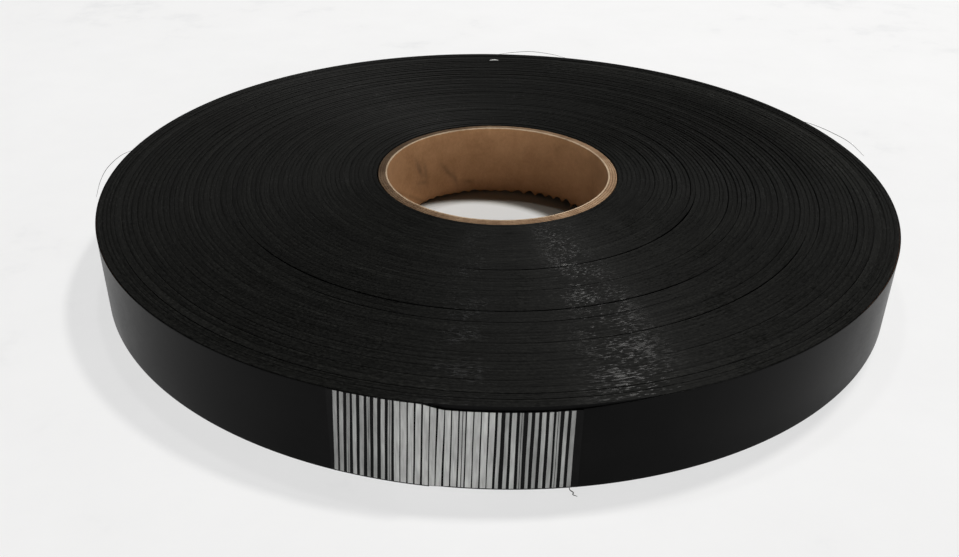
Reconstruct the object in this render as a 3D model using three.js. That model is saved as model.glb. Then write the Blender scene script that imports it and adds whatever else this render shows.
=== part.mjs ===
// A flat "pancake" roll of black-lined copper foil tape on a paperboard core.
// Millimetres, +Z up. The origin is on the roll's axis, in the plane that the
// roll rests on. The front of the roll, with the closing label, faces -Y.
import * as THREE from "three";

// ---- driving dimensions ------------------------------------------------
const TAPE_WIDTH = 25.4; // one-inch tape, so the roll stands this high
const ROLL_R = 132.6; // outer surface at the free end; 131.8 on average
const TURN = 1.6; // radial growth of one turn
const CORE_BORE_R = 38.1; // three-inch core
const CORE_Z0 = 0.3; // the core is cut a little shorter than the tape is wide
const CORE_Z1 = 25.1;

// core plies, from the bore outwards: [name, inner radius, outer radius]
const PLIES = [
  ["core_liner_ply", CORE_BORE_R, 38.7],
  ["core_body_ply_inner", 38.8, 39.6],
  ["core_body_ply_outer", 39.7, 40.5],
  ["core_cover_ply", 40.6, 41.1],
];

// the wound turns, grouped where the winding has opened into a dark gap
const BAND_GAP = 0.3;
const BAND_EDGES = [41.6, 68.0, 89.4, 104.8, 116.6];

// one turn is liner, adhesive and foil, from the outside inwards
const LINER_T = 0.45;
const ADHESIVE_T = 0.35;
const FOIL_T = 0.3;
const LAYER_GAP = 0.1;

// angles, degrees, counter-clockwise seen from above; -90 is the front
const FREE_END = -97.5; // where the tape's free end lies, under the label
const FLAP_ARC = 33.75; // last stretch of the tape, which peels off
const LABEL_BACK = 10.4; // label that is stuck on the flap
const LABEL_TAB = 15.3; // label that reaches past the free end
const LABEL_T = 0.25;
const LABEL_Z0 = 0.45;
const LABEL_Z1 = 24.95;
const LABEL_LIFT = 0.15; // glue line under the label
const SLIT = 0.3; // gap between one stretch and the next, along the turn

const STEP = 3.75; // facet angle: 96 facets a turn
const SEGMENTS = 360 / STEP;

// ---- helpers -----------------------------------------------------------
const rad = THREE.MathUtils.degToRad;
const polar = (r, deg) =>
  new THREE.Vector2(r * Math.cos(rad(deg)), r * Math.sin(rad(deg)));

// outer surface of the last turn: it grows by TURN from the point just past
// the free end to the free end itself
const surface = (deg) =>
  ROLL_R - (TURN * (FREE_END + 360 - deg)) / 360;

// a ring of rectangular section, turned round the axis
function ring(rIn, rOut, z0, z1) {
  const g = new THREE.LatheGeometry(
    [
      new THREE.Vector2(rIn, z0),
      new THREE.Vector2(rOut, z0),
      new THREE.Vector2(rOut, z1),
      new THREE.Vector2(rIn, z1),
      new THREE.Vector2(rIn, z0),
    ],
    SEGMENTS,
  );
  g.rotateX(Math.PI / 2);
  return g;
}

// a strip that follows a list of [degrees, inner radius, outer radius]
function strip(stations, z0, z1) {
  const outer = stations.map(([a, , ro]) => polar(ro, a));
  const inner = stations.map(([a, ri]) => polar(ri, a)).reverse();
  const g = new THREE.ExtrudeGeometry(new THREE.Shape([...outer, ...inner]), {
    depth: z1 - z0,
    bevelEnabled: false,
    curveSegments: 1,
  });
  g.translate(0, 0, z0);
  return g;
}

// angles from a to b, both ends included, on the common facet stations
function angles(a, b) {
  const out = [a];
  for (let k = 0; k <= SEGMENTS; k++) {
    const s = FREE_END + k * STEP;
    if (s > a + 0.2 && s < b - 0.2) out.push(s);
  }
  out.push(b);
  return out;
}

// SLIT, as an angle at the rim
const SLIT_DEG = THREE.MathUtils.radToDeg(SLIT / ROLL_R);

// ---- materials ---------------------------------------------------------
const board = new THREE.MeshStandardMaterial({
  color: 0x9a7650,
  roughness: 0.9,
  metalness: 0,
});
const kraft = new THREE.MeshStandardMaterial({
  color: 0x86603c,
  roughness: 0.85,
  metalness: 0,
});
const blackLiner = new THREE.MeshStandardMaterial({
  color: 0x161718,
  roughness: 0.42,
  metalness: 0,
});
const blackTurns = new THREE.MeshStandardMaterial({
  color: 0x1b1c1c,
  roughness: 0.55,
  metalness: 0,
});
const blackGlue = new THREE.MeshStandardMaterial({
  color: 0x0e0e0e,
  roughness: 0.3,
  metalness: 0,
});
const copper = new THREE.MeshStandardMaterial({
  color: 0xb8663c,
  roughness: 0.28,
  metalness: 1,
});
const labelFilm = new THREE.MeshStandardMaterial({
  color: 0x9a9c9a,
  roughness: 0.5,
  metalness: 0,
});
const maskingPaper = new THREE.MeshStandardMaterial({
  color: 0xcdb98a,
  roughness: 0.8,
  metalness: 0,
});

const roll = new THREE.Group();
function add(name, geometry, material) {
  const mesh = new THREE.Mesh(geometry, material);
  mesh.name = name;
  roll.add(mesh);
  return mesh;
}

// ---- core: four plies of a spiral-wound paperboard tube ----------------
for (const [name, rIn, rOut] of PLIES)
  add(
    name,
    ring(rIn, rOut, CORE_Z0, CORE_Z1),
    name === "core_liner_ply" ? kraft : board,
  );

// the tab of masking paper that ties the tape's first turn to the core
{
  const stations = [];
  for (let k = 0; k <= 18; k++) stations.push([11 * STEP + k * STEP, 41.2, 41.4]);
  add("start_tab", strip(stations, 0.7, 24.7), maskingPaper);
}

// ---- wound turns -------------------------------------------------------
for (let i = 0; i < BAND_EDGES.length - 1; i++)
  add(
    "wound_turns_" + (i + 1),
    ring(
      BAND_EDGES[i] + (i ? BAND_GAP / 2 : 0),
      BAND_EDGES[i + 1] - BAND_GAP / 2,
      0,
      TAPE_WIDTH,
    ),
    blackTurns,
  );

// the outermost group follows the spiral, with a step under the free end
{
  const outer = [];
  for (let k = 0; k <= SEGMENTS; k++) {
    const a = FREE_END + k * STEP;
    outer.push(polar(surface(a) - TURN, k === SEGMENTS ? a - 1e-3 : a));
  }
  const shape = new THREE.Shape(outer);
  const hole = [];
  const rIn = BAND_EDGES[BAND_EDGES.length - 1] + BAND_GAP / 2;
  for (let k = SEGMENTS - 1; k >= 0; k--)
    hole.push(polar(rIn, FREE_END + k * STEP));
  shape.holes.push(new THREE.Path(hole));
  const g = new THREE.ExtrudeGeometry(shape, {
    depth: TAPE_WIDTH,
    bevelEnabled: false,
    curveSegments: 1,
  });
  add("wound_turns_" + BAND_EDGES.length, g, blackTurns);
}

// ---- last turn: three layers, and the flap that peels ------------------
const LAYERS = [
  ["liner", 0, LINER_T, blackLiner],
  ["adhesive", LINER_T + LAYER_GAP, ADHESIVE_T, blackGlue],
  ["foil", LINER_T + ADHESIVE_T + 2 * LAYER_GAP, FOIL_T, copper],
];
const flapRoot = FREE_END + 360 - FLAP_ARC;
for (const [name, depth, thick, material] of LAYERS) {
  const at = (a) => {
    const r = surface(a) - depth;
    return [a, r - thick, r];
  };
  add(
    "last_turn_" + name,
    strip(
      angles(FREE_END + SLIT_DEG, flapRoot - SLIT_DEG).map(at),
      0,
      TAPE_WIDTH,
    ),
    material,
  );
  add(
    "end_flap_" + name,
    strip(angles(flapRoot, FREE_END + 360).map(at), 0, TAPE_WIDTH),
    material,
  );
}

// ---- closing label -----------------------------------------------------
{
  const stuck = [];
  for (let k = 0; k <= 6; k++) {
    const a = FREE_END + 360 - LABEL_BACK * (1 - k / 6);
    const r = surface(a) + LABEL_LIFT;
    stuck.push([a, r, r + LABEL_T]);
  }
  add("label_stuck_half", strip(stuck, LABEL_Z0, LABEL_Z1), labelFilm);

  // past the free end the label comes down on the turn below
  const tab = [];
  const down = 2.0;
  for (let k = 0; k <= 10; k++) {
    const u = SLIT_DEG + ((LABEL_TAB - SLIT_DEG) * k) / 10;
    const s = Math.min(1, u / down);
    const high = ROLL_R + LABEL_LIFT;
    const low = surface(FREE_END + u) + LABEL_LIFT + 0.1;
    const r = high + (low - high) * s * s * (3 - 2 * s);
    tab.push([FREE_END + u, r, r + LABEL_T]);
  }
  add("label_tab", strip(tab, LABEL_Z0, LABEL_Z1), labelFilm);
}

export default roll;
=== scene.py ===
import math

import bpy
import numpy as np
from mathutils import Matrix, Vector


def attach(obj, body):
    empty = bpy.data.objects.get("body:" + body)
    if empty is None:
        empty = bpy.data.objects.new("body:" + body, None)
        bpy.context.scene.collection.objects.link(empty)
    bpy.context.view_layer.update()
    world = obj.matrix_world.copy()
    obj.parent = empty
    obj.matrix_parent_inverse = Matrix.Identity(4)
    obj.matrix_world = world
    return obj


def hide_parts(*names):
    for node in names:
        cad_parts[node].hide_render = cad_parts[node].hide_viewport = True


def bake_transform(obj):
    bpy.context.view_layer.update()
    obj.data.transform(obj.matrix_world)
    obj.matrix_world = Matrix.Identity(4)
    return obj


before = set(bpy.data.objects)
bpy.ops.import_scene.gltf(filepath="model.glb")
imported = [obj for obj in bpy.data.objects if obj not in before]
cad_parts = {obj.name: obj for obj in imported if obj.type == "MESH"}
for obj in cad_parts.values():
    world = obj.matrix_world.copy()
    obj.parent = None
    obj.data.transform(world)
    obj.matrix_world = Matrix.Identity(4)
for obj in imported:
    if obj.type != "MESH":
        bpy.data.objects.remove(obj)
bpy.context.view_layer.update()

MM = 0.001
rng = np.random.default_rng(20611)

# ---------------------------------------------------------------- dimensions
TAPE_W = 25.4  # mm, the height of the roll
FREE_END = -97.5  # degrees, where the tape ends under the label
SPIRAL = 0.36  # mm, what one turn of tape adds at the rim
RIM_R = 132.2  # mm, outer surface at the free end
LINER_T, GLUE_T, FOIL_T = 0.16, 0.09, 0.08
CORE_BORE, CORE_OUT = 38.1, 41.1
LABEL_FROM, LABEL_TO = -107.9, -82.2


def surface(deg):
    """Outer radius of the last turn, for angles from FREE_END to FREE_END + 360."""
    return RIM_R - SPIRAL * (FREE_END + 360.0 - deg) / 360.0


def sstep(x, a, b):
    t = np.clip((np.asarray(x, float) - a) / (b - a), 0, 1)
    return t * t * (3 - 2 * t)


def dome(r):
    """How far the turns near the core have ridden up out of the flat face, in mm."""
    return 1.25 * (1 - sstep(r, 44, 82)) + 0.1 * np.sin(np.asarray(r, float) / 9.0)


def wave(th, seed, n=5, lo=1, hi=14):
    """Smooth closed noise round the roll, about -1 to 1. th in radians."""
    g = np.random.default_rng(seed)
    out = np.zeros_like(th)
    for _ in range(n):
        k = g.integers(lo, hi + 1)
        out += g.normal() / math.sqrt(k) * np.cos(k * th + g.uniform(0, 2 * math.pi))
    return out / max(1e-6, 1.6)


def wrap(deg):
    return (np.asarray(deg, float) + 180.0) % 360.0 - 180.0


# ---------------------------------------------------------------- mesh helpers
def new_object(name, verts, faces, smooth=True):
    """faces is an (n, 4) or (n, 3) integer array, or a list of index lists."""
    me = bpy.data.meshes.new(name)
    if isinstance(faces, np.ndarray):
        n, k = faces.shape
        me.vertices.add(len(verts))
        me.vertices.foreach_set("co", (np.asarray(verts, np.float64) * MM).astype(np.float32).ravel())
        me.loops.add(n * k)
        me.loops.foreach_set("vertex_index", faces.astype(np.int32).ravel())
        me.polygons.add(n)
        me.polygons.foreach_set("loop_start", np.arange(0, n * k, k, dtype=np.int32))
        me.update(calc_edges=True)
        me.validate()
    else:
        me.from_pydata([tuple(np.asarray(v) * MM) for v in verts], [], faces)
    if smooth:
        me.polygons.foreach_set("use_smooth", np.ones(len(me.polygons), bool))
    me.update()
    o = bpy.data.objects.new(name, me)
    bpy.context.scene.collection.objects.link(o)
    return o


def sweep(name, R, Z, th, closed, mat_of=None, tone=None, smooth=True):
    """A closed section (first index) swept round the axis (second index).
    R and Z are (sections, angles) in mm, th in radians. The section runs so that its outside is on its right."""
    ns, na = R.shape
    x = R * np.cos(th)[None, :]
    y = R * np.sin(th)[None, :]
    v = np.stack([x, y, Z], -1).reshape(-1, 3)
    i = np.arange(ns)
    i2 = (i + 1) % ns
    j = np.arange(na if closed else na - 1)
    j2 = (j + 1) % na
    a = (i[:, None] * na + j[None, :]).ravel()
    b = (i[:, None] * na + j2[None, :]).ravel()
    c = (i2[:, None] * na + j2[None, :]).ravel()
    d = (i2[:, None] * na + j[None, :]).ravel()
    quads = np.stack([a, b, c, d], -1)
    mats = np.zeros(len(quads), np.int32)
    if mat_of is not None:
        mats = np.repeat(np.asarray(mat_of, np.int32), len(j))
    if closed:
        o = new_object(name, v, quads, smooth)
    else:
        faces = quads.tolist()
        faces.append([int(k) * na for k in range(ns)])
        faces.append([int(k) * na + na - 1 for k in range(ns)][::-1])
        o = new_object(name, v, faces, smooth)
        mats = np.concatenate([mats, [int(mats[0])] * 2]).astype(np.int32)
    if not closed:
        o.data.set_sharp_from_angle(angle=math.radians(50))  # crisp cut ends
    if mat_of is not None:
        o.data.polygons.foreach_set("material_index", mats)
    if tone is not None:
        t = np.asarray(tone, np.float32)
        if t.ndim == 1:
            t = np.repeat(t[:, None], na, 1)
        at = o.data.attributes.new("tone", "FLOAT", "POINT")
        at.data.foreach_set("value", t.ravel())
    o.data.update()
    return o


def band(name, th, r_in, r_out, z_lo, z_hi, closed, bevel=0.05, rows=6, mat_of=None):
    """A thin upright strip: r_in, r_out, z_lo, z_hi are per angle, in mm."""
    one = np.ones_like(th)
    r_in, r_out, z_lo, z_hi = (np.asarray(a, float) * one for a in (r_in, r_out, z_lo, z_hi))
    R, Z = [], []

    def put(r, z):
        R.append(r)
        Z.append(z)

    ts = np.concatenate([[0.0, 0.012, 0.04], np.linspace(0.1, 0.9, rows), [0.96, 0.988, 1.0]])
    bz = bevel
    # up the outside, across the top, down the inside
    for t in ts:
        put(r_out, z_lo + bz + (z_hi - z_lo - 2 * bz) * t)
    put(r_out - bevel * 0.3 * one, z_hi - bz * 0.3)
    put(r_out - np.minimum(bevel, 0.45 * (r_out - r_in)), z_hi)
    put(r_in + np.minimum(bevel, 0.45 * (r_out - r_in)), z_hi)
    put(r_in + bevel * 0.3 * one, z_hi - bz * 0.3)
    for t in ts[::-1]:
        put(r_in, z_lo + bz + (z_hi - z_lo - 2 * bz) * t)
    put(r_in + np.minimum(bevel, 0.45 * (r_out - r_in)), z_lo)
    put(r_out - np.minimum(bevel, 0.45 * (r_out - r_in)), z_lo)
    return sweep(name, np.array(R), np.array(Z), th, closed)


def tube(name, points, radius, sides=6):
    """A thin round thread along points, in mm."""
    P = np.array(points, float)
    # resample with a Catmull-Rom curve
    Q = np.vstack([2 * P[0] - P[1], P, 2 * P[-1] - P[-2]])
    out = []
    for k in range(1, len(Q) - 2):
        for t in np.linspace(0, 1, 8, endpoint=False):
            a, b, c, d = Q[k - 1], Q[k], Q[k + 1], Q[k + 2]
            out.append(0.5 * ((2 * b) + (c - a) * t + (2 * a - 5 * b + 4 * c - d) * t * t + (3 * b - a - 3 * c + d) * t ** 3))
    out.append(P[-1])
    C = np.array(out)
    T = np.gradient(C, axis=0)
    T /= np.linalg.norm(T, axis=1)[:, None]
    up = np.array([0, 0, 1.0])
    verts, faces = [], []
    for k, (c, t) in enumerate(zip(C, T)):
        s = np.cross(t, up)
        s = s / np.linalg.norm(s) if np.linalg.norm(s) > 1e-4 else np.array([1.0, 0, 0])
        n = np.cross(s, t)
        rr = radius * (0.45 + 0.55 * math.sin(math.pi * min(1, (k + 0.6) / len(C) * 1.0)))
        for q in range(sides):
            a = 2 * math.pi * q / sides
            verts.append(c + rr * (math.cos(a) * s + math.sin(a) * n))
    m = len(C)
    for k in range(m - 1):
        for q in range(sides):
            q2 = (q + 1) % sides
            faces.append([k * sides + q, k * sides + q2, (k + 1) * sides + q2, (k + 1) * sides + q])
    faces.append(list(range(sides))[::-1])
    faces.append([(m - 1) * sides + q for q in range(sides)])
    return new_object(name, verts, faces)


# ---------------------------------------------------------------- materials
class Nodes:
    """Short names for building a material's node tree."""

    def __init__(self, name):
        self.mat = bpy.data.materials.new(name)
        self.mat.use_nodes = True
        self.t = self.mat.node_tree
        self.t.nodes.clear()
        self.out = self.t.nodes.new("ShaderNodeOutputMaterial")
        self.bsdf = self.t.nodes.new("ShaderNodeBsdfPrincipled")
        self.t.links.new(self.bsdf.outputs[0], self.out.inputs["Surface"])

    def n(self, kind, **props):
        node = self.t.nodes.new("ShaderNode" + kind)
        for k, v in props.items():
            setattr(node, k, v)
        return node

    def link(self, a, b):
        self.t.links.new(a, b)
        return b

    def _in(self, socket, value):
        if isinstance(value, bpy.types.NodeSocket):
            self.t.links.new(value, socket)
        elif value is not None:
            socket.default_value = value

    def math(self, op, a, b=None, c=None, clamp=False):
        m = self.n("Math", operation=op, use_clamp=clamp)
        for s, v in zip(m.inputs, (a, b, c)):
            if v is not None:
                self._in(s, v)
        return m.outputs[0]

    def vec(self, x=0.0, y=0.0, z=0.0):
        m = self.n("CombineXYZ")
        for s, v in zip(m.inputs, (x, y, z)):
            self._in(s, v)
        return m.outputs[0]

    def sep(self, v):
        m = self.n("SeparateXYZ")
        self.link(v, m.inputs[0])
        return m.outputs

    def obj(self):
        return self.n("TexCoord").outputs["Object"]

    def attr(self, name):
        return self.n("Attribute", attribute_name=name).outputs["Fac"]

    def noise(self, vector, scale=5.0, detail=2.0, rough=0.5, dist=0.0):
        m = self.n("TexNoise")
        self.link(vector, m.inputs["Vector"])
        m.inputs["Scale"].default_value = scale
        m.inputs["Detail"].default_value = detail
        m.inputs["Roughness"].default_value = rough
        m.inputs["Distortion"].default_value = dist
        return m.outputs["Fac"]

    def voronoi(self, vector, scale):
        m = self.n("TexVoronoi")
        self.link(vector, m.inputs["Vector"])
        m.inputs["Scale"].default_value = scale
        return m.outputs["Distance"]

    def ramp(self, fac, *stops):
        m = self.n("ValToRGB")
        self.link(fac, m.inputs[0])
        e = m.color_ramp.elements
        while len(e) > 1:
            e.remove(e[-1])
        for i, (p, c) in enumerate(stops):
            c = (c, c, c, 1) if isinstance(c, (int, float)) else (*c, 1)
            if i == 0:
                e[0].position, e[0].color = p, c
            else:
                q = e.new(p)
                q.color = c
        return m.outputs[0]

    def mix(self, fac, a, b, blend="MIX"):
        m = self.n("Mix", data_type="RGBA", blend_type=blend)
        self._in(m.inputs["Factor"], fac)
        for key, v in (("A", a), ("B", b)):
            s = [i for i in m.inputs if i.name == key and i.type == "RGBA"][0]
            if isinstance(v, bpy.types.NodeSocket):
                self.link(v, s)
            else:
                s.default_value = (v, v, v, 1) if isinstance(v, (int, float)) else (*v, 1)
        return [o for o in m.outputs if o.type == "RGBA"][0]

    def bump(self, height, strength=0.3, distance=0.1, normal=None):
        m = self.n("Bump")
        m.inputs["Strength"].default_value = strength
        m.inputs["Distance"].default_value = distance * MM
        self.link(height, m.inputs["Height"])
        if normal is not None:
            self.link(normal, m.inputs["Normal"])
        return m.outputs[0]

    def set(self, **kw):
        names = {
            "color": "Base Color", "rough": "Roughness", "metal": "Metallic", "spec": "Specular IOR Level",
            "aniso": "Anisotropic", "rot": "Anisotropic Rotation", "normal": "Normal", "coat": "Coat Weight",
            "coat_rough": "Coat Roughness", "sheen": "Sheen Weight", "tangent": "Tangent", "sheen_rough": "Sheen Roughness",
            "subsurface": "Subsurface Weight",
        }
        for k, v in kw.items():
            s = self.bsdf.inputs[names[k]]
            if isinstance(v, bpy.types.NodeSocket):
                self.link(v, s)
            else:
                s.default_value = (*v, 1) if isinstance(v, tuple) and len(v) == 3 else v


def polar(m):
    """radius in mm, a seamless (cos, sin) pair, and z in mm, from the row frame."""
    x, y, z = m.sep(m.obj())
    r = m.math("SQRT", m.math("ADD", m.math("MULTIPLY", x, x), m.math("MULTIPLY", y, y)))
    c = m.math("DIVIDE", x, r)
    s = m.math("DIVIDE", y, r)
    return m.math("MULTIPLY", r, 1000.0), c, s, m.math("MULTIPLY", z, 1000.0)


def edge_material():
    """The wound face: thousands of cut tape edges, matt black, brushed round the roll."""
    m = Nodes("tape_edges_black")
    r, c, s, z = polar(m)
    around = lambda f, k: m.vec(m.math("MULTIPLY", r, f), m.math("MULTIPLY", c, k), m.math("MULTIPLY", s, k))
    fine = m.noise(around(5.5, 5.0), 1.0, 3.0, 0.6)  # single layers
    medium = m.noise(around(0.9, 3.0), 1.0, 2.0, 0.55)  # groups of layers
    dust = m.noise(around(1.1, 90.0), 1.0, 4.0, 0.7)  # specks and lint
    speck = m.noise(around(2.2, 160.0), 1.0, 2.0, 0.6)
    grain = m.noise(around(1.7, 130.0), 1.0, 3.0, 0.7)  # matt grain, the same in all directions
    tone = m.attr("tone")
    base = m.ramp(fine, (0.25, (0.0028, 0.0029, 0.0025)), (0.55, (0.0066, 0.0067, 0.0061)), (0.8, (0.0130, 0.0132, 0.0118)))
    base = m.mix(1.0, base, m.ramp(medium, (0.3, 0.80), (0.7, 1.22)), "MULTIPLY")
    base = m.mix(1.0, base, m.ramp(grain, (0.32, 0.36), (0.5, 0.95), (0.7, 2.2)), "MULTIPLY")
    # the tone attribute scales the face colour: random tone per turn, a painted sheen on the outer turns at the back,
    # and painted shade in the groove floors
    base = m.mix(1.0, base, m.ramp(tone, (0.0, 0.0), (1.0, 2.0)), "MULTIPLY")
    grey = m.ramp(dust, (0.60, 0.0), (0.80, 1.0))
    base = m.mix(m.math("MULTIPLY", grey, 0.25), base, (0.030, 0.030, 0.027))
    m.set(color=base)
    # most of it is matt; single crushed edges are smooth and glint where the lamp finds them
    glint = m.noise(around(2.5, 56.0), 1.0, 2.0, 0.55)
    patch = m.noise(around(0.11, 7.0), 1.0, 2.0, 0.5)
    glint = m.math("ADD", glint, m.math("MULTIPLY", m.math("SUBTRACT", patch, 0.49), 0.42))
    # the back left is matt throughout
    away = m.math("SUBTRACT", m.math("MULTIPLY", s, 0.75), m.math("MULTIPLY", c, 0.65))
    glint = m.math("ADD", glint, m.math("MULTIPLY", m.math("MAXIMUM", away, 0.0), 0.12))
    m.set(rough=m.ramp(glint, (0.37, 0.35), (0.42, 0.58), (0.47, 0.90), (0.8, 1.0)))
    m.set(spec=0.105, aniso=1.0)
    tan = m.n("Tangent", direction_type="RADIAL", axis="Z")
    m.set(tangent=tan.outputs[0], rot=0.25)
    h = m.math("ADD", m.math("MULTIPLY", fine, 0.7), m.math("MULTIPLY", speck, 0.5))
    m.set(normal=m.bump(h, 0.26, 0.08))
    return m.mat


def liner_material():
    """The smooth black outer face of the tape."""
    m = Nodes("tape_liner_black")
    r, c, s, z = polar(m)
    cloud = m.noise(m.vec(m.math("MULTIPLY", c, 7.0), m.math("MULTIPLY", s, 7.0), m.math("MULTIPLY", z, 0.05)), 1.0, 4.0, 0.6)
    scuff = m.noise(m.vec(m.math("MULTIPLY", c, 60.0), m.math("MULTIPLY", s, 60.0), m.math("MULTIPLY", z, 1.6)), 1.0, 4.0, 0.65)
    lines = m.noise(m.vec(m.math("MULTIPLY", c, 12.0), m.math("MULTIPLY", s, 12.0), m.math("MULTIPLY", z, 7.0)), 1.0, 2.0, 0.5)
    base = m.ramp(cloud, (0.3, (0.0015, 0.0015, 0.0015)), (0.7, (0.0026, 0.0026, 0.0026)))
    base = m.mix(m.ramp(scuff, (0.62, 0.0), (0.85, 0.5)), base, (0.0052, 0.0052, 0.0052))
    m.set(color=base)
    m.set(rough=m.ramp(m.math("ADD", m.math("MULTIPLY", cloud, 0.6), m.math("MULTIPLY", scuff, 0.4)), (0.35, 0.28), (0.65, 0.36)))
    m.set(spec=0.045)
    m.set(normal=m.bump(m.math("ADD", m.math("MULTIPLY", lines, 0.25), scuff), 0.12, 0.04))
    return m.mat


def glue_material():
    m = Nodes("adhesive_black")
    v = m.obj()
    n = m.noise(v, 900.0, 3.0, 0.6)
    m.set(color=m.ramp(n, (0.3, (0.004, 0.004, 0.004)), (0.7, (0.010, 0.010, 0.010))))
    m.set(rough=m.ramp(n, (0.3, 0.22), (0.7, 0.38)), spec=0.4)
    m.set(normal=m.bump(n, 0.3, 0.03))
    return m.mat


def copper_material():
    m = Nodes("copper_foil")
    v = m.obj()
    x, y, z = m.sep(v)
    roll = m.noise(m.vec(m.math("MULTIPLY", x, 40.0), m.math("MULTIPLY", y, 40.0), m.math("MULTIPLY", z, 2600.0)), 1.0, 3.0, 0.6)
    stain = m.noise(v, 70.0, 4.0, 0.6)
    m.set(color=m.mix(m.ramp(stain, (0.4, 0.0), (0.75, 0.6)), (0.86, 0.42, 0.24), (0.62, 0.27, 0.14)))
    m.set(rough=m.ramp(m.math("ADD", m.math("MULTIPLY", roll, 0.5), m.math("MULTIPLY", stain, 0.5)), (0.35, 0.2), (0.65, 0.36)))
    m.set(metal=1.0)
    m.set(normal=m.bump(m.math("ADD", m.math("MULTIPLY", roll, 0.4), stain), 0.15, 0.05))
    return m.mat


def kraft_material(name, light, dark, fibre=0.5, pale_at=0.0, back=1.0, front=1.0, low=1.0):
    """Paperboard: mottled, with short fibres. It is front times as pale towards pale_at degrees, back times as pale
    on the far side, and low times as pale at the bottom; on the bore wall these three are painted light and shade."""
    m = Nodes(name)
    r, c, s, z = polar(m)
    wall = m.vec(m.math("MULTIPLY", c, 38.0), m.math("MULTIPLY", s, 38.0), z)
    blot = m.noise(wall, 0.12, 5.0, 0.62)
    mott = m.noise(wall, 0.9, 4.0, 0.65)
    m_f = m.noise(m.vec(m.math("MULTIPLY", c, 130.0), m.math("MULTIPLY", s, 130.0), m.math("MULTIPLY", z, 0.7)), 1.0, 4.0, 0.7)
    mix = m.math("ADD", m.math("MULTIPLY", blot, 0.55), m.math("ADD", m.math("MULTIPLY", mott, 0.28), m.math("MULTIPLY", m_f, 0.17)))
    col = m.ramp(mix, (0.36, dark), (0.5, tuple((a + b) / 2 for a, b in zip(light, dark))), (0.64, light))
    # colour times front towards pale_at degrees and times back on the far side; on the bore wall this is painted light
    # and shade
    a = math.radians(pale_at)
    side = m.math("ADD", m.math("MULTIPLY", c, 0.5 * math.cos(a)), m.math("MULTIPLY", s, 0.5 * math.sin(a)))
    side = m.math("ADD", side, 0.5)
    col = m.mix(1.0, col, m.ramp(side, (0.0, back), (0.5, (back + front) / 2), (1.0, front)), "MULTIPLY")
    # colour times low at the bottom; on the bore wall this is painted light against the shade low down
    deep = m.math("DIVIDE", z, 26.0, clamp=True)
    col = m.mix(1.0, col, m.ramp(deep, (0.0, low), (0.85, 1.0)), "MULTIPLY")
    m.set(color=col)
    m.set(rough=m.ramp(mott, (0.3, 0.78), (0.7, 0.92)), spec=0.1)
    m.set(normal=m.bump(m.math("ADD", mott, m_f), fibre, 0.12))
    return m, (r, c, s, z, wall, mix)


def liner_ply_material():
    """The bore's wall, with the seam of the spiral ply and a few soft pencil-like rubs."""
    # painted light and shade on the bore wall: 1.06 times lighter on the left, which faces the key lamp, 0.72 times as
    # dark on the right as painted shade, and up to 1.75 times lighter at the foot against the shade down in the bore
    m, (r, c, s, z, wall, mix) = kraft_material("kraft_bore", (0.330, 0.180, 0.088), (0.225, 0.118, 0.054), 0.35, 165.0, 0.72, 1.06, 1.75)
    old = m.bsdf.inputs["Base Color"].links[0].from_socket
    rub = m.attr("rub")
    seam = m.attr("seam")
    col = m.mix(m.math("MULTIPLY", rub, 0.55, clamp=True), old, (0.045, 0.036, 0.030))
    col = m.mix(m.math("MULTIPLY", seam, 0.65, clamp=True), col, (0.075, 0.036, 0.016))
    m.set(color=col)
    return m.mat


def label_materials():
    m = Nodes("label_film_black")
    v = m.obj()
    n = m.noise(v, 500.0, 3.0, 0.6)
    m.set(color=m.ramp(n, (0.3, (0.0014, 0.0014, 0.0014)), (0.7, (0.0026, 0.0026, 0.0026))))
    m.set(rough=m.ramp(n, (0.3, 0.32), (0.7, 0.40)), spec=0.07)
    m.set(normal=m.bump(n, 0.1, 0.03))
    film = m.mat
    m = Nodes("label_stripe_silver")
    x, y, z = m.sep(m.obj())
    along = m.noise(m.vec(m.math("MULTIPLY", x, 1500.0), m.math("MULTIPLY", y, 1500.0), m.math("MULTIPLY", z, 150.0)), 1.0, 3.0, 0.6)
    patch = m.noise(m.vec(m.math("MULTIPLY", x, 160.0), m.math("MULTIPLY", y, 160.0), m.math("MULTIPLY", z, 90.0)), 1.0, 3.0, 0.5)
    tone = m.attr("tone")
    base = m.ramp(tone, (0.0, (0.04, 0.04, 0.04)), (1.0, (0.66, 0.665, 0.645)))
    base = m.mix(1.0, base, m.ramp(along, (0.3, 0.72), (0.7, 1.18)), "MULTIPLY")
    base = m.mix(1.0, base, m.ramp(patch, (0.35, 0.86), (0.65, 1.1)), "MULTIPLY")
    m.set(color=base)
    m.set(rough=m.ramp(along, (0.3, 0.45), (0.7, 0.6)), spec=0.3)
    m.set(normal=m.bump(along, 0.1, 0.03))
    return film, m.mat


def fibre_material(name, a, b):
    m = Nodes(name)
    n = m.noise(m.obj(), 3000.0, 2.0, 0.6)
    m.set(color=m.ramp(n, (0.35, a), (0.65, b)), rough=m.ramp(n, (0.3, 0.6), (0.7, 0.8)))
    return m.mat


EDGE = edge_material()
LINER = liner_material()
GLUE = glue_material()
COPPER = copper_material()
BORE = liner_ply_material()
BOARD = kraft_material("kraft_board_edge", (0.47, 0.315, 0.195), (0.23, 0.135, 0.075), 0.9, -25.0, 0.22, 0.95)[0].mat
BOARD_PALE = kraft_material("kraft_rim_pale", (0.66, 0.51, 0.36), (0.40, 0.29, 0.19), 0.9, -25.0, 0.72, 0.92)[0].mat
COVER = kraft_material("kraft_cover", (0.34, 0.21, 0.12), (0.15, 0.085, 0.045), 0.9)[0].mat
PAPER = kraft_material("masking_paper", (0.68, 0.58, 0.40), (0.55, 0.45, 0.29), 0.4)[0].mat
FILM, STRIPE = label_materials()
HAIR = fibre_material("loose_fibre_black", (0.012, 0.012, 0.012), (0.05, 0.05, 0.05))
LINT = fibre_material("lint_pale", (0.35, 0.35, 0.34), (0.55, 0.55, 0.53))

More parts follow.
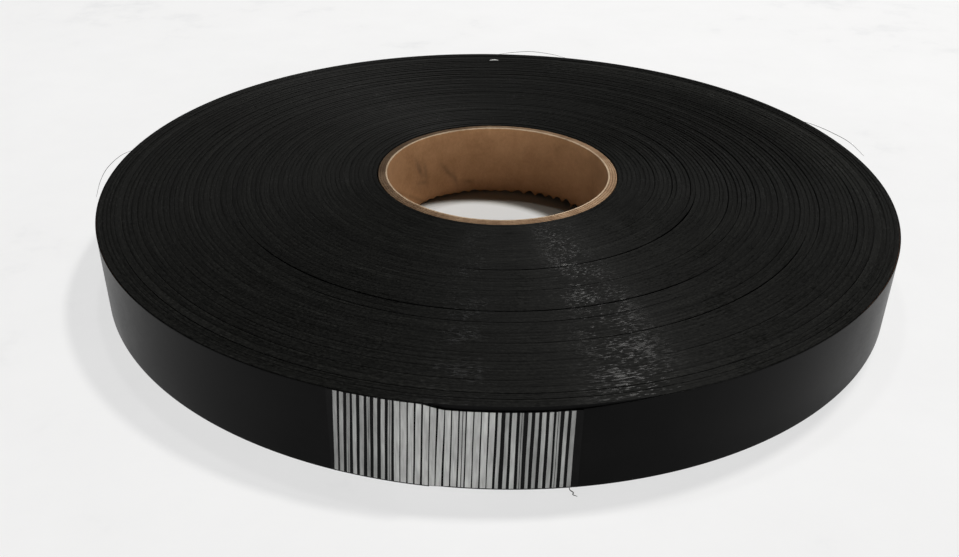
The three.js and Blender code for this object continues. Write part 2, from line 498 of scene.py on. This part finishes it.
# ---------------------------------------------------------------- wound turns
# where the winding has opened: radius (mm), widest opening (mm), first and last angle, and how softly it closes
GAPS = [
    (57.2, 0.22, -100, -40, 20), (61.6, 0.16, -80, 30, 24), (68.0, 0.72, -98, -24, 14), (72.8, 0.34, -112, -76, 14),
    (78.9, 0.20, -96, 24, 24), (83.2, 0.24, -60, 60, 24), (89.4, 0.85, -136, -52, 26), (94.9, 0.46, -122, -66, 16),
    (100.2, 0.42, -112, -28, 14), (104.8, 0.62, -94, -34, 14), (109.5, 0.46, -120, -74, 14), (113.0, 0.26, -136, -60, 18),
    (116.6, 0.34, -128, -50, 18), (119.3, 0.22, -80, 10, 20), (121.2, 0.34, -142, -78, 14), (124.1, 0.24, -90, -30, 20),
    (126.4, 0.36, -140, -60, 18), (128.8, 0.22, -120, -40, 20),
]
# on the right of the core the turns stand apart more evenly
RIGHT_GAPS = (2.0, 0.46, 18, 38)
BAND_EDGES = [41.6, 68.0, 89.4, 104.8, 116.6, None]


def turn_edges():
    """Radii where one visible turn meets the next."""
    fixed = [41.6] + [g[0] for g in GAPS] + [131.4]
    out = [41.6]
    for a, b in zip(fixed[:-1], fixed[1:]):
        n = max(1, int(round((b - a) / 1.58)))
        for k in range(1, n + 1):
            j = 0.0 if k == n else rng.uniform(-0.16, 0.16)
            out.append(a + (b - a) * k / n + j)
    return np.array(out)


EDGES = turn_edges()
N_AROUND = 480
TH_DEG = FREE_END + 0.05 + np.arange(N_AROUND) * (360.0 - 0.05) / (N_AROUND - 1)
TH = np.radians(TH_DEG)
VIEW_DEG = np.where(TH_DEG > 98.0, TH_DEG - 360.0, TH_DEG)  # the same angles from -262 to 98


def shift(r, th):
    """The turns don't lie quite centred: the middle ones sag a little to the front left."""
    k = np.sin(np.pi * np.clip((r - 41.6) / (131.4 - 41.6), 0, 1))
    return k * (-0.55 * np.cos(th) - 0.45 * np.sin(th) * 1.0)


def opening(idx, r):
    """How far edge number idx stands open, per angle, in mm."""
    w = 0.022 + 0.010 * (1 + wave(TH, 500 + idx, 4, 2, 20))
    for g, width, lo, hi, soft in GAPS:
        if abs(g - r) < 1e-6:
            on = sstep(VIEW_DEG, lo - soft, lo + soft * 0.5) * (1 - sstep(VIEW_DEG, hi - soft * 0.5, hi + soft))
            w = w + width * on * (0.85 + 0.25 * wave(TH, 900 + idx, 5, 4, 30))
    pitch, width, at, run = RIGHT_GAPS
    if idx % 2 == 0 and 54 < r < 112:
        d = np.abs(wrap(TH_DEG - at - 6 * math.sin(idx)))
        w = w + width * (0.55 + 0.45 * math.sin(idx * 1.7)) * np.exp(-((d / run) ** 2))
    return np.clip(w, 0.02, 0.95)


OPEN = [opening(i, r) for i, r in enumerate(EDGES)]
LIFT = [0.05 * wave(TH, 100 + i, 6, 1, 9) + 0.045 * rng.normal() for i in range(len(EDGES) - 1)]


def turn_tone_and_sheen(i):
    """How pale one group of turns is, per angle: a random tone, plus a painted sheen on the outer turns at the back
    right and a fainter painted sheen on those at the back left.
    """
    r = (EDGES[i] + EDGES[i + 1]) / 2
    t = 0.5 + 0.05 * rng.normal() + 0.03 * wave(TH, 300 + i, 5, 1, 12)
    # painted sheen: the outer turns at the back right, and more faintly at the back left, are painted lighter in place
    # of light reflected there
    right = sstep(VIEW_DEG, -22, 8) * (1 - sstep(VIEW_DEG, 58, 88)) * np.exp(-(((r - 121.5) / 5.0) ** 2))
    back = sstep(VIEW_DEG, -262, -250) * (1 - sstep(VIEW_DEG, -222, -205)) * np.exp(-(((r - 121.0) / 3.0) ** 2))
    return np.clip(t * (1 + 1.0 * right + 0.35 * back), 0.1, 1.0)


TONE_AND_SHEEN = [turn_tone_and_sheen(i) for i in range(len(EDGES) - 1)]


def groove(w):
    """How deep one can see between two groups of turns that stand w mm apart."""
    return 0.20 + 2.9 * np.clip((w - 0.05) / 0.3, 0, 1)


def wound(name, first, last, node, outer=None):
    """The turns from edge first to edge last as one closed body. outer is the outermost radius, if it isn't an edge."""
    R, Z, T, M = [], [], [], []
    one = np.ones(N_AROUND)

    def put(r, z, tone, mat=0):
        R.append(r * one)
        Z.append(z * one)
        T.append(tone * one)
        M.append(mat)

    def inner(i):
        return EDGES[i] + shift(EDGES[i], TH) + OPEN[i] / 2

    def outward(i):
        if outer is not None and i == last:
            return outer
        return EDGES[i] + shift(EDGES[i], TH) - OPEN[i] / 2

    base = lambda i: np.maximum(0.0, dome(EDGES[i]) + 0.08 * (LIFT[i] - LIFT[i].min()))
    # along the bottom, outwards
    for i in range(first, last):
        a, b, z0 = inner(i), outward(i + 1), base(i)
        put(a, z0 + 1.0, TONE_AND_SHEEN[i])
        put(a, z0 + 0.06, TONE_AND_SHEEN[i])
        put(a + 0.12, z0, TONE_AND_SHEEN[i])
        put(b - 0.12, z0, TONE_AND_SHEEN[i])
        put(b, z0 + 0.06, TONE_AND_SHEEN[i], 1 if i == last - 1 else 0)
        if i < last - 1:
            put(b, z0 + 1.0, TONE_AND_SHEEN[i])
    # up the outer wall
    top = lambda i: TAPE_W + dome((EDGES[i] + EDGES[i + 1]) / 2) + np.clip(LIFT[i], -0.25, 0.25)
    # a gap between two bands is only open near the top, so no daylight comes through it
    b = outward(last)
    low = b if outer is not None else EDGES[last] + shift(EDGES[last], TH) - 0.012
    for t in (0.02, 0.06, 0.2, 0.4, 0.6, 0.8, 0.94):
        put(low if 0.05 < t < 0.7 else b, base(last - 1) + (top(last - 1) - base(last - 1)) * t, TONE_AND_SHEEN[last - 1], 1)
    # along the top, inwards
    for i in range(last - 1, first - 1, -1):
        a, b, z1 = inner(i), outward(i + 1), top(i)
        depth_out = groove(OPEN[i + 1]) if i < last - 1 else None
        if depth_out is not None:
            # the groove floor takes half the tone: painted shade down in the opening between groups of turns
            put(b, z1 - depth_out, TONE_AND_SHEEN[i] * 0.5)
        put(b, z1 - 0.17, TONE_AND_SHEEN[i])
        put(b - 0.03, z1 - 0.125, TONE_AND_SHEEN[i])
        put(b - 0.12, z1 - 0.095, TONE_AND_SHEEN[i])
        put((a + b) / 2, z1 + 0.010, TONE_AND_SHEEN[i])
        put(a + 0.12, z1 + 0.090, TONE_AND_SHEEN[i])
        put(a + 0.03, z1 + 0.075, TONE_AND_SHEEN[i])
        put(a, z1 - 0.01, TONE_AND_SHEEN[i])
        if i > first:
            # half the tone here too: painted shade at the foot of this groove
            put(a, z1 - groove(OPEN[i]), TONE_AND_SHEEN[i] * 0.5)
    # down the inner wall
    a = inner(first)
    low = EDGES[first] + shift(EDGES[first], TH) + 0.012 if first > 0 else a
    for t in (0.9, 0.7, 0.5, 0.3, 0.12):
        put(low if t < 0.6 else a, base(first) + (top(first) - base(first)) * t, TONE_AND_SHEEN[first])
    o = sweep(name, np.array(R), np.array(Z), TH, True, mat_of=M, tone=T)
    o.data.materials.append(EDGE)
    o.data.materials.append(LINER)
    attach(o, "roll")
    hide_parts(node)
    return o


cuts = [0]
for e in BAND_EDGES[1:-1]:
    cuts.append(int(np.argmin(abs(EDGES - e))))
cuts.append(len(EDGES) - 1)
outer_wall = surface(TH_DEG) - SPIRAL - 0.02
for k in range(5):
    wound(f"winding_{k + 1}", cuts[k], cuts[k + 1], f"wound_turns_{k + 1}", outer_wall if k == 4 else None)


# ---------------------------------------------------------------- last turn
def dip(deg):
    """The last turn has slipped down a little beside the label."""
    d = wrap(deg)
    return 1.45 * sstep(d, -98.6, -95.4) * (1 - sstep(d, -86.0, -68.5))


def edge_top(deg):
    return TAPE_W - dip(deg) + 0.07 * wave(np.radians(deg), 31, 5, 1, 9)


SEAM = 210.0  # where the still part of the last turn meets the part that bends; -150 degrees


def last_turn(part, deg, node, body, blend=False):
    th = np.radians(deg)
    s = surface(deg)
    top = edge_top(deg)
    made = []
    for layer, out, thick, drop, mat, slot in (
        ("liner", 0.0, LINER_T, 0.0, LINER, "tape_liner"),
        ("adhesive", LINER_T + 0.01, GLUE_T, 0.22, GLUE, "tape_adhesive"),
        ("foil", LINER_T + GLUE_T + 0.02, FOIL_T, 0.32, COPPER, "copper_foil"),
    ):
        o = band(f"{part}_{layer}", th, s - out - thick, s - out, 0.0 + (0.25 if drop else 0.02), top - drop, False, bevel=0.03)
        o.data.materials.append(mat)
        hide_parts(f"{node}_{layer}")
        made.append(o)
        if blend:
            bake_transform(o)
        else:
            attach(o, body)
    return made


still = np.arange(FREE_END + 0.13, SEAM, 0.75)
still = np.append(still, SEAM)
bends = np.linspace(SEAM, FREE_END + 360.0, 74)
last_turn("outer_turn", still, "last_turn", "roll")
last_turn("tape_end", bends, "end_flap", "tape_end", blend=True)

# ---------------------------------------------------------------- closing label
LABEL_T = 0.10


def label_surface(deg):
    """Outer surface that the label lies on; it comes down over the tape's end."""
    d = wrap(deg)
    on = surface(np.where(d <= FREE_END, d + 360.0, d))
    over = RIM_R + (surface(d) - RIM_R) * sstep(d, FREE_END, FREE_END + 2.2)
    return np.where(d <= FREE_END, on, np.maximum(over, surface(d))) + 0.03


def label():
    step = 0.2
    deg = np.arange(LABEL_FROM - 0.65, LABEL_TO + 0.85, step)
    th = np.radians(deg)
    lift = 0.25 * sstep(deg, LABEL_TO - 0.6, LABEL_TO + 0.6)
    s = label_surface(deg) + lift
    lo = 0.35 + 0.05 * wave(th, 77, 4, 20, 90) + 0.0 * th
    hi = edge_top(deg) - 0.04
    o = band("closing_label", th, s, s + LABEL_T, lo, hi, False, bevel=0.03)
    o.data.materials.append(FILM)
    # stripes: (count, share of the pitch that is silver, tone)
    g = np.random.default_rng(77)
    n = 34
    pitch = (LABEL_TO - LABEL_FROM) / n
    verts, faces, tones = [], [], []
    for k in range(n):
        if k < 9:
            wide, tone = 0.56 + 0.05 * g.normal(), 0.31 + 0.04 * g.normal()
        elif k < 23:
            wide, tone = 0.80 + 0.04 * g.normal(), 0.46 + 0.04 * g.normal()
        else:
            wide, tone = 0.58 + 0.05 * g.normal(), 0.32 + 0.04 * g.normal()
        mid = LABEL_FROM + pitch * (k + 0.5) + 0.03 * g.normal() * pitch
        lean = 0.05 * g.normal() * pitch
        parts = [(mid - wide * pitch / 2, mid + wide * pitch / 2, tone)]
        if k in (2, 5, 8, 18, 26, 31):  # a doubled stripe
            w = wide * pitch
            parts = [(mid - w / 2, mid - 0.06 * w, tone), (mid + 0.08 * w, mid + w / 2, tone * 0.9)]
        for a, b, t in parts:
            rows = 14
            start = len(verts)
            for q in range(rows + 1):
                u = q / rows
                wob = 0.012 * pitch * math.sin(7 * u + k) + lean * (u - 0.5)
                skew = -0.50 * (1 - u) * (1 - k / 33.0)
                for d in (a + wob + skew, b + wob + skew):
                    top = float(edge_top(np.array([d]))[0]) - 0.10
                    z = 0.50 + (top - 0.50) * u
                    rr = float(label_surface(np.array([d]))[0] + 0.25 * sstep(d, LABEL_TO - 0.6, LABEL_TO + 0.6)) + LABEL_T
                    for dr in (-0.02, 0.035):
                        verts.append([(rr + dr) * math.cos(math.radians(d)), (rr + dr) * math.sin(math.radians(d)), z])
                        tones.append(t)
            for q in range(rows):
                p = start + q * 4
                n4 = p + 4
                faces += [
                    [p + 1, p + 3, n4 + 3, n4 + 1],  # outside
                    [p + 2, p, n4, n4 + 2],  # inside
                    [p, p + 1, n4 + 1, n4],
                    [p + 3, p + 2, n4 + 2, n4 + 3],
                ]
            p = start
            e = start + rows * 4
            faces += [[p, p + 2, p + 3, p + 1], [e + 1, e + 3, e + 2, e]]
    st = new_object("label_stripes", verts, faces, smooth=False)
    at = st.data.attributes.new("tone", "FLOAT", "POINT")
    at.data.foreach_set("value", np.array(tones, np.float32))
    st.data.materials.append(STRIPE)
    a = math.radians(FREE_END + 0.13)
    p = np.array([math.cos(a), math.sin(a), 0]) * 132.9
    q = p + np.array([-math.sin(a), math.cos(a), 0]) * 5.0
    z = np.array([0, 0, 12.7])
    for piece in (o, st):
        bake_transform(piece)
    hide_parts("label_stuck_half", "label_tab")
    return o, st


label()


# ---------------------------------------------------------------- core
CORE_N = 720
CTH = np.arange(CORE_N) * 2 * math.pi / CORE_N
CDEG = np.degrees(CTH)


def ply(name, node, r0, r1, top, bottom, mats, rub=False):
    """One ply of the paperboard tube. top and bottom are per angle. mats: wall, rim."""
    one = np.ones(CORE_N)
    R, Z, M = [], [], []

    def put(r, z, m=0):
        R.append(r * one)
        Z.append(z * one)
        M.append(m)

    rows = 60 if rub else 8
    out = r1 + 0.03 * wave(CTH, 7 + len(name), 5, 3, 40)
    for t in np.linspace(0.0, 1.0, 6):
        put(out, bottom + 0.15 + (top - bottom - 0.4) * t, 0)
    put(out - 0.03, top - 0.06, 1)
    put(out * 0.75 + r0 * 0.25, top + 0.04 * wave(CTH, 17 + len(name), 8, 30, 160), 1)
    put(out * 0.5 + r0 * 0.5, top + 0.06 * wave(CTH, 18 + len(name), 8, 30, 160), 1)
    put(out * 0.25 + r0 * 0.75, top + 0.03 * wave(CTH, 19 + len(name), 8, 30, 160), 1)
    put(r0 + 0.03 + 0.10 * np.abs(wave(CTH, 90 + len(name), 8, 12, 110)), top - 0.04, 1)
    put(r0 + 0.02, top - 0.22 - 0.25 * np.abs(wave(CTH, 95 + len(name), 8, 12, 110)), 0)
    for t in np.linspace(1.0, 0.0, rows):
        z = bottom + 0.1 + (top - bottom - 0.85) * t
        put(r0 + 0.05 * wave(CTH, 40 + int(t * 3), 5, 2, 11) * (1 if rub else 0.3), z, 0)
    put(r0 + 0.12, bottom, 0)
    put(out - 0.1, bottom, 0)
    o = sweep(name, np.array(R), np.array(Z), CTH, True, mat_of=M)
    for m in mats:
        o.data.materials.append(m)
    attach(o, "roll")
    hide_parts(node)
    return o


core_top = TAPE_W + 1.25 - 0.05
CORE_UP = 2.3
tear = 1.9 * np.abs(wave(CTH, 61, 9, 6, 34)) + 0.6 * wave(CTH, 62, 6, 2, 9) + 0.18 * wave(CTH, 63, 8, 40, 120)
liner_bottom = np.clip(0.25 + tear, 0.12, 2.6)
fuzz = lambda s, a: a * wave(CTH, s, 10, 20, 170)
liner = ply("core_liner", "core_liner_ply", CORE_BORE, 38.74, core_top + fuzz(3, 0.06), liner_bottom, (BORE, BOARD_PALE), rub=True)
p2 = ply("core_board_inner", "core_body_ply_inner", 38.78, 39.62, core_top - 0.10 + fuzz(4, 0.08), liner_bottom * 0 + CORE_UP, (COVER, BOARD))
p3 = ply("core_board_outer", "core_body_ply_outer", 39.66, 40.48, core_top - 0.16 + fuzz(5, 0.08), liner_bottom * 0 + CORE_UP, (COVER, BOARD))
p4 = ply("core_cover", "core_cover_ply", 40.52, 41.15, core_top - 0.22 + fuzz(6, 0.12), liner_bottom * 0 + CORE_UP, (COVER, BOARD))


def paint_bore(o):
    """Marks on the bore's wall: a few soft grey rubs with no meaning, and the seam of the spiral ply."""
    co = np.array([v.co for v in o.data.vertices]) / MM
    deg = np.degrees(np.arctan2(co[:, 1], co[:, 0]))
    z = co[:, 2]
    rub = np.zeros(len(co))
    for at, h, w, t, tilt, amp in ((139, 15.0, 4.6, 1.0, 1.15, 0.75), (134, 12.5, 3.6, 0.9, 1.4, 0.6), (137, 9.0, 3.0, 0.9, 0.2, 0.55),
                                   (119, 10.5, 4.2, 0.9, 0.9, 0.7), (114, 6.5, 3.4, 0.8, 1.3, 0.5), (106, 5.0, 2.6, 0.8, 0.15, 0.55)):
        dx = wrap(deg - at) * math.pi / 180 * 38.1
        dz = z - h
        u = dx * math.cos(tilt) + dz * math.sin(tilt)
        v = -dx * math.sin(tilt) + dz * math.cos(tilt)
        rub += amp * np.exp(-((u / w) ** 2) - (v / t) ** 2)
    at = o.data.attributes.new("rub", "FLOAT", "POINT")
    at.data.foreach_set("value", np.clip(rub, 0, 1).astype(np.float32))
    # the seam climbs round the bore as a helix
    line = 6.0 + (wrap(deg - 148.0)) * 0.42
    d = (z - line + 40) % 80 - 40
    seam = 0.4 * np.exp(-((d / 0.9) ** 2))
    at = o.data.attributes.new("seam", "FLOAT", "POINT")
    at.data.foreach_set("value", np.clip(seam, 0, 1).astype(np.float32))


paint_bore(liner)

# the starter tab lies under the first turns
tab = band("starter_tab", np.radians(np.arange(41.25, 108.8, 0.75)), 41.2, 41.36, 1.6, 24.6, False, bevel=0.03)
tab.data.materials.append(PAPER)
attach(tab, "roll")
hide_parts("start_tab")


# ---------------------------------------------------------------- loose fibres
def pol(r, deg, z):
    a = math.radians(deg)
    return [r * math.cos(a), r * math.sin(a), z]


threads = [
    ("fibre_back", [pol(131.4, 89.5, 25.4), pol(130.8, 86.8, 26.6), pol(132.2, 83.0, 27.0), pol(131.4, 79.0, 26.7), pol(131.6, 76.0, 25.5)], 0.10),
    ("fibre_right", [pol(131.2, 24.0, 25.5), pol(131.0, 20.5, 26.8), pol(132.0, 16.5, 27.3), pol(133.8, 12.5, 27.0), pol(135.0, 8.5, 25.4)], 0.10),
    ("fibre_left", [pol(131.4, 173.5, 25.5), pol(132.8, 177.0, 26.6), pol(133.8, 181.5, 26.7), pol(133.9, 185.5, 26.0), pol(133.4, 190.0, 25.0)], 0.09),
    ("fibre_label", [pol(132.2, -82.5, 0.9), pol(133.0, -82.5, 0.4), pol(133.9, -82.2, 0.25), pol(134.6, -82.3, 0.2), pol(135.3, -81.9, 0.2)], 0.14),
]
for name, pts, rad in threads:
    o = tube(name, pts, rad)
    o.data.materials.append(HAIR)
    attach(o, "roll")
o = tube("lint_back", [pol(121.6, 91.3, 25.66), pol(122.0, 90.4, 25.8), pol(122.0, 89.4, 25.64)], 0.30, 8)
o.data.materials.append(LINT)
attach(o, "roll")

# ---------------------------------------------------------------- stage
S = 3.0
n = 60
gx = np.linspace(-S, S, n)
verts = [[x * 1000, y * 1000, -0.02] for y in gx for x in gx]
faces = [[j * n + i, j * n + i + 1, (j + 1) * n + i + 1, (j + 1) * n + i] for j in range(n - 1) for i in range(n - 1)]
floor = new_object("table", verts, faces)
m = Nodes("table_white")
v = m.obj()
big = m.noise(v, 5.0, 3.0, 0.55)
small = m.noise(v, 32.0, 4.0, 0.65)
smear = m.math("ADD", m.math("MULTIPLY", big, 0.5), m.math("MULTIPLY", small, 0.5))
x, y, z = m.sep(v)
away = m.math("SQRT", m.math("ADD", m.math("MULTIPLY", x, x), m.math("MULTIPLY", y, y)))
# mask for the table's painted glow: none within 55 mm of the axis, full beyond 100 mm
floor_glow_mask = m.ramp(away, (0.055, 0.0), (0.10, 1.0))
# painted shadow on the table inside the bore: pale where the key lamp shines down through the bore, dark in a crescent
# under the far wall
hx = m.math("ADD", x, 0.0085)
hy = m.math("ADD", y, 0.0088)
hole_shadow_paint = m.ramp(m.math("SQRT", m.math("ADD", m.math("MULTIPLY", hx, hx), m.math("MULTIPLY", hy, hy))), (0.0355, (0.72, 0.735, 0.74)), (0.0400, (0.27, 0.265, 0.235)))
m.set(color=m.mix(floor_glow_mask, hole_shadow_paint, m.ramp(smear, (0.34, (0.205, 0.206, 0.208)), (0.44, (0.235, 0.235, 0.235)))), rough=0.75, spec=0.1)
# beyond a ring round the roll the table glows by itself, painted light that washes out the shadows there, and its
# colour is darker under the glow; within the ring it has no glow
m.link(m.mix(floor_glow_mask, 0.0, m.ramp(smear, (0.31, (0.615, 0.617, 0.62)), (0.42, (0.662, 0.662, 0.662)), (0.6, (0.68, 0.68, 0.68)))), m.bsdf.inputs["Emission Color"])
m.bsdf.inputs["Emission Strength"].default_value = 1.0
floor.data.materials.append(m.mat)

# ---------------------------------------------------------------- light
scene = bpy.context.scene
scene.view_settings.view_transform = "Standard"
world = bpy.data.worlds.new("studio")
scene.world = world
world.use_nodes = True
wt = world.node_tree
wt.nodes.clear()
w_out = wt.nodes.new("ShaderNodeOutputWorld")
w_bg = wt.nodes.new("ShaderNodeBackground")
tc = wt.nodes.new("ShaderNodeTexCoord")
sp = wt.nodes.new("ShaderNodeSeparateXYZ")
wt.links.new(tc.outputs["Generated"], sp.inputs[0])


def wmath(op, a, b, clamp=False):
    k = wt.nodes.new("ShaderNodeMath")
    k.operation = op
    k.use_clamp = clamp
    for s, val in zip(k.inputs, (a, b)):
        if isinstance(val, bpy.types.NodeSocket):
            wt.links.new(val, s)
        else:
            s.default_value = val
    return k.outputs[0]


RING, TOP = 3.7, 0.02
low = wt.nodes.new("ShaderNodeMapRange")
low.interpolation_type = "SMOOTHSTEP"
wt.links.new(sp.outputs[2], low.inputs["Value"])
low.inputs["From Min"].default_value = 0.10
low.inputs["From Max"].default_value = 0.46
low.inputs["To Min"].default_value = 1.0
low.inputs["To Max"].default_value = 0.0
front = wt.nodes.new("ShaderNodeMapRange")
front.interpolation_type = "SMOOTHSTEP"
wt.links.new(sp.outputs[1], front.inputs["Value"])
front.inputs["From Min"].default_value = -0.75
front.inputs["From Max"].default_value = 0.5
front.inputs["To Min"].default_value = 1.0
front.inputs["To Max"].default_value = 0.13
ring = wmath("MULTIPLY", low.outputs[0], front.outputs[0])
wt.links.new(wmath("ADD", wmath("MULTIPLY", ring, RING), TOP), w_bg.inputs["Strength"])
w_bg.inputs["Color"].default_value = (1.0, 1.0, 1.0, 1)
wt.links.new(w_bg.outputs[0], w_out.inputs[0])


def lamp(name, direction, dist, size, power, color=(1, 1, 1)):
    d = Vector(direction).normalized()
    data = bpy.data.lights.new(name, "AREA")
    data.shape = "DISK"
    data.size = size
    data.energy = power
    data.color = color
    o = bpy.data.objects.new(name, data)
    scene.collection.objects.link(o)
    o.location = d * dist
    o.rotation_mode = "QUATERNION"
    o.rotation_quaternion = d.to_track_quat("Z", "Y")
    return o


lamp("key", (0.29, 0.30, 0.91), 1.4, 0.16, 13.6, (1.0, 0.985, 0.96))
lamp("second", (-0.06, 0.30, 0.95), 1.4, 0.10, 3.0)

# ---------------------------------------------------------------- camera
R_CAM = 132.0
el, roll_, dist = math.radians(30.407), math.radians(0.916), 2.5331
back = Vector((0, -math.cos(el), math.sin(el)))
fwd = -back
right = Vector((1, 0, 0))
up = right.cross(fwd)
loc = (Vector((-0.0428, -0.2222, 0)) + back * dist) * R_CAM * MM
rr = math.cos(roll_) * right + math.sin(roll_) * up
uu = -math.sin(roll_) * right + math.cos(roll_) * up
cam_data = bpy.data.cameras.new("camera")
cam_data.sensor_width = 36.0
cam_data.sensor_fit = "HORIZONTAL"
cam_data.lens = 1000.0 / 959.0 * 36.0
cam = bpy.data.objects.new("camera", cam_data)
scene.collection.objects.link(cam)
cam.matrix_world = Matrix((
    (rr.x, uu.x, -fwd.x, loc.x),
    (rr.y, uu.y, -fwd.y, loc.y),
    (rr.z, uu.z, -fwd.z, loc.z),
    (0, 0, 0, 1),
))
scene.camera = cam
